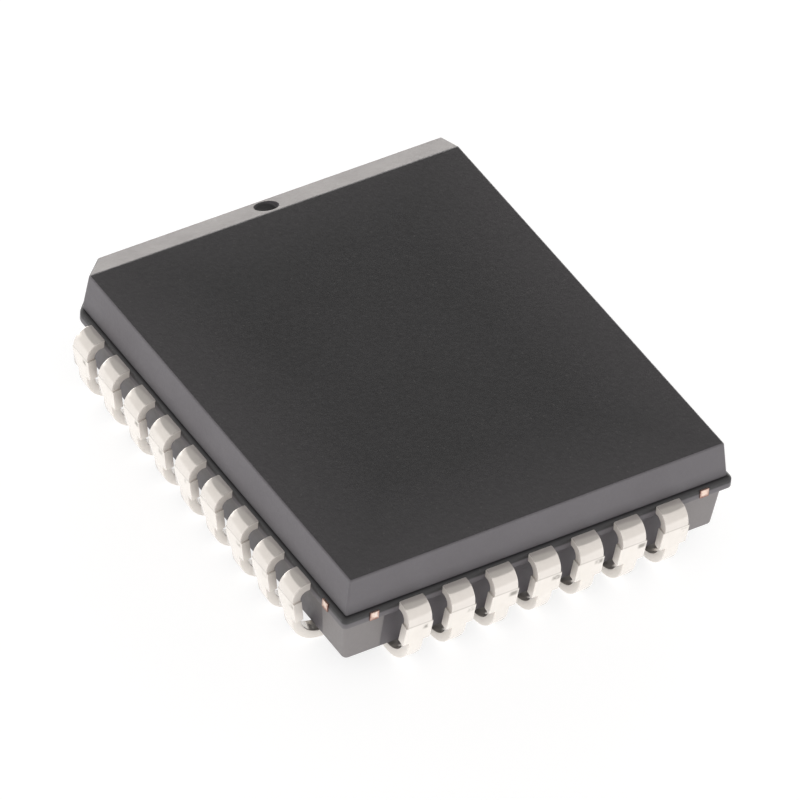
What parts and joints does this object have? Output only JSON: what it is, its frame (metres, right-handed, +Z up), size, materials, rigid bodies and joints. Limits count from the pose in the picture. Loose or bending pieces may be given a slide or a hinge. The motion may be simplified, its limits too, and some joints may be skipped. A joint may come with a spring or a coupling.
{
  "type": "plastic leaded chip carrier",
  "caption": "Rectangular moulded chip package with J-shaped leads along all four sides, a bevelled index edge with a dimple and a cut corner.",
  "frame": {"origin": "centre of the seating plane under the lead feet", "axes": "+Z up out of the top face, +Y along the length towards the bevelled index edge, +X to the right"},
  "size_m": [0.0126, 0.015, 0.0033],
  "materials": {
    "mould_compound": "satin moulded epoxy",
    "tin_plate": "matte tin plate on copper alloy",
    "copper_alloy": "bare sheared copper alloy",
    "adhesive": "silver-filled epoxy",
    "silicon": "polished silicon",
    "gold": "drawn gold wire"
  },
  "bodies": {
    "root": {"moulded_body": "mould_compound", "lead_01": "tin_plate", "lead_02": "tin_plate", "lead_03": "tin_plate", "lead_04": "tin_plate", "lead_05": "tin_plate", "lead_06": "tin_plate", "lead_07": "tin_plate", "lead_08": "tin_plate", "lead_09": "tin_plate", "lead_10": "tin_plate", "lead_11": "tin_plate", "lead_12": "tin_plate", "lead_13": "tin_plate", "lead_14": "tin_plate", "lead_15": "tin_plate", "lead_16": "tin_plate", "lead_17": "tin_plate", "lead_18": "tin_plate", "lead_19": "tin_plate", "lead_20": "tin_plate", "lead_21": "tin_plate", "lead_22": "tin_plate", "lead_23": "tin_plate", "lead_24": "tin_plate", "lead_25": "tin_plate", "lead_26": "tin_plate", "lead_27": "tin_plate", "lead_28": "tin_plate", "lead_29": "tin_plate", "lead_30": "tin_plate", "lead_31": "tin_plate", "lead_32": "tin_plate", "die_pad": "copper_alloy", "die_attach": "adhesive", "die": "silicon", "bond_wires": "gold"}
  },
  "joints": []
}
